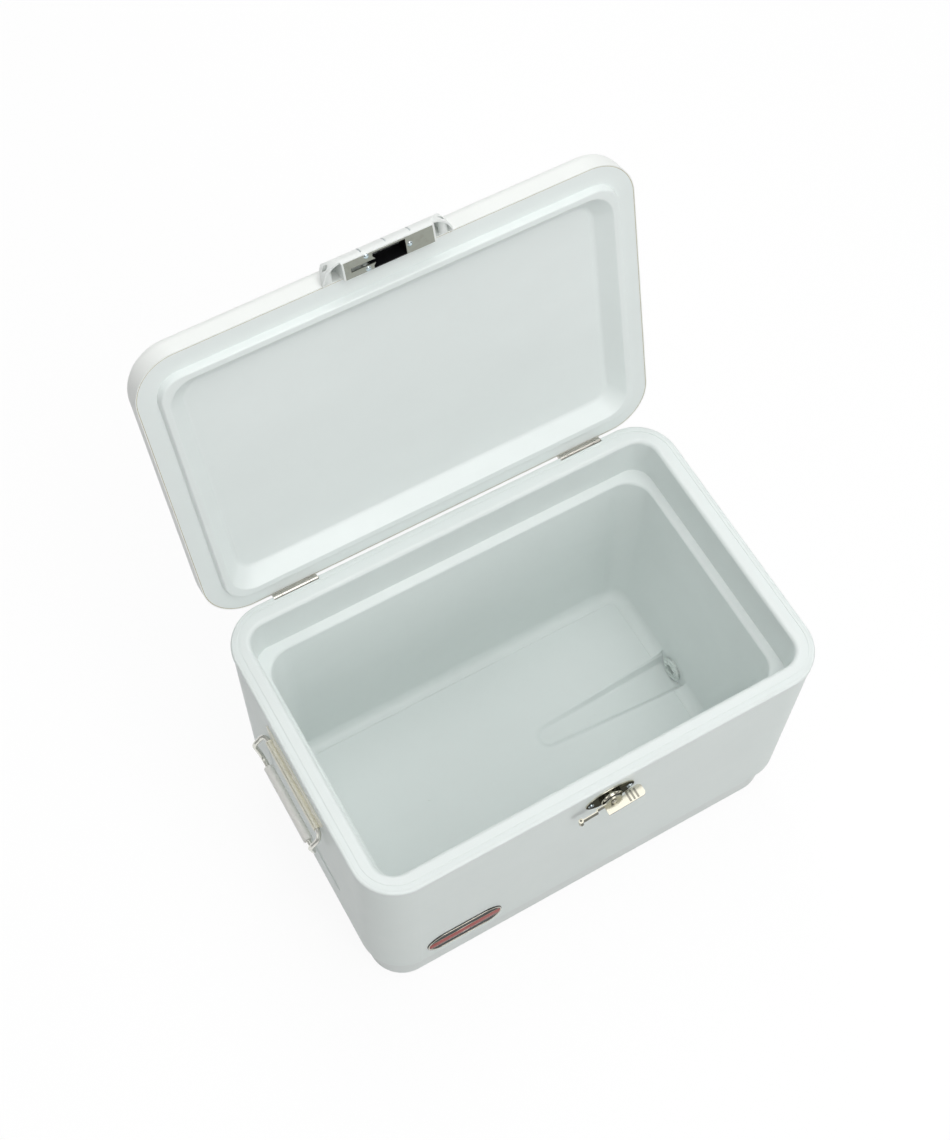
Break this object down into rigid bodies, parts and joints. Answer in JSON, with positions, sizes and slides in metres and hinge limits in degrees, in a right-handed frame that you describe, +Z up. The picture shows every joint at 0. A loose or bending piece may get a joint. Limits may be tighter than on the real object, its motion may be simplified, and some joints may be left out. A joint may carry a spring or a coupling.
{
  "type": "cooler",
  "caption": "Steel-belted picnic cooler with a hinged insulated lid, a swinging latch lever with its strike housing, folding end handles and a floor drain.",
  "frame": {"origin": "on the underside of the base, at the middle of the base's footprint", "axes": "+Z up; -Y is the latch side, +Y the hinge side; +X is the drain end; the lid is open at rest"},
  "size_m": [0.6254, 0.5434, 0.7409],
  "materials": {
    "belt_paint": "gloss white enamel on thin steel sheet",
    "liner_plastic": "moulded white plastic with a satin gloss",
    "base_plastic": "moulded white plastic",
    "foam": "rigid insulating foam, sealed inside",
    "drain_plastic": "moulded white plastic",
    "gasket_rubber": "pale grey rubber seal",
    "seal_rubber": "black rubber seal",
    "badge_enamel": "dark enamel with a plain red band and a bright edge",
    "nickel": "bright nickel plate",
    "hinge_steel": "stainless steel",
    "screw_steel": "zinc-plated screw",
    "housing_plastic": "moulded white plastic",
    "insert_plastic": "black moulded plastic",
    "strike_steel": "plain steel plate with a dull grey finish",
    "grip_plastic": "off-white plastic tube"
  },
  "bodies": {
    "body": {"base_pan": "base_plastic", "body_shell": "belt_paint", "body_foam": "foam", "liner": "liner_plastic", "drain_flange": "drain_plastic", "drain_gasket": "gasket_rubber", "drain_tube": "drain_plastic", "drain_nut": "drain_plastic", "badge": "badge_enamel", "latch_plate": "nickel", "latch_plate_screws": "screw_steel", "latch_pivot": "nickel", "hinge_pins": "hinge_steel", "hinge_body_screws": "screw_steel", "hinge_body_leaf_left": "hinge_steel", "hinge_body_leaf_right": "hinge_steel", "handle_bracket_left": "nickel", "handle_bracket_right": "nickel", "bracket_rivets_left": "nickel", "bracket_rivets_right": "nickel"},
    "lid": {"lid_shell": "belt_paint", "lid_liner": "liner_plastic", "lid_foam": "foam", "hinge_lid_leaf_left": "hinge_steel", "hinge_lid_leaf_right": "hinge_steel", "hinge_lid_screws": "screw_steel", "latch_housing": "housing_plastic", "strike_plate": "strike_steel", "strike_plate_screws": "screw_steel", "catch_insert": "insert_plastic", "housing_screws": "screw_steel"},
    "latch": {"latch_lever": "nickel"},
    "left_handle": {"bail_left": "nickel", "grip_left": "grip_plastic"},
    "right_handle": {"bail_right": "nickel", "grip_right": "grip_plastic"},
    "cap": {"drain_cap": "drain_plastic", "cap_washer": "seal_rubber"}
  },
  "joints": [
    {"name": "lid_hinge", "type": "hinge", "parent": "body", "child": "lid", "pos_m": [0, 0.1908, 0.3503], "axis": [1, 0, 0], "range_deg": [0, 105.6]},
    {"name": "latch_swing", "type": "hinge", "parent": "body", "child": "latch", "pos_m": [0, -0.198, 0.3205], "axis": [0, 1, 0], "range_deg": [0, 90]},
    {"name": "left_handle_swing", "type": "hinge", "parent": "body", "child": "left_handle", "pos_m": [-0.29528, 0, 0.295], "axis": [0, 1, 0], "range_deg": [0, 110]},
    {"name": "right_handle_swing", "type": "hinge", "parent": "body", "child": "right_handle", "pos_m": [0.29528, 0, 0.295], "axis": [0, -1, 0], "range_deg": [0, 110]},
    {"name": "drain_cap_slide", "type": "slide", "parent": "body", "child": "cap", "axis": [1, 0, 0], "range_m": [0, 0.025]}
  ]
}
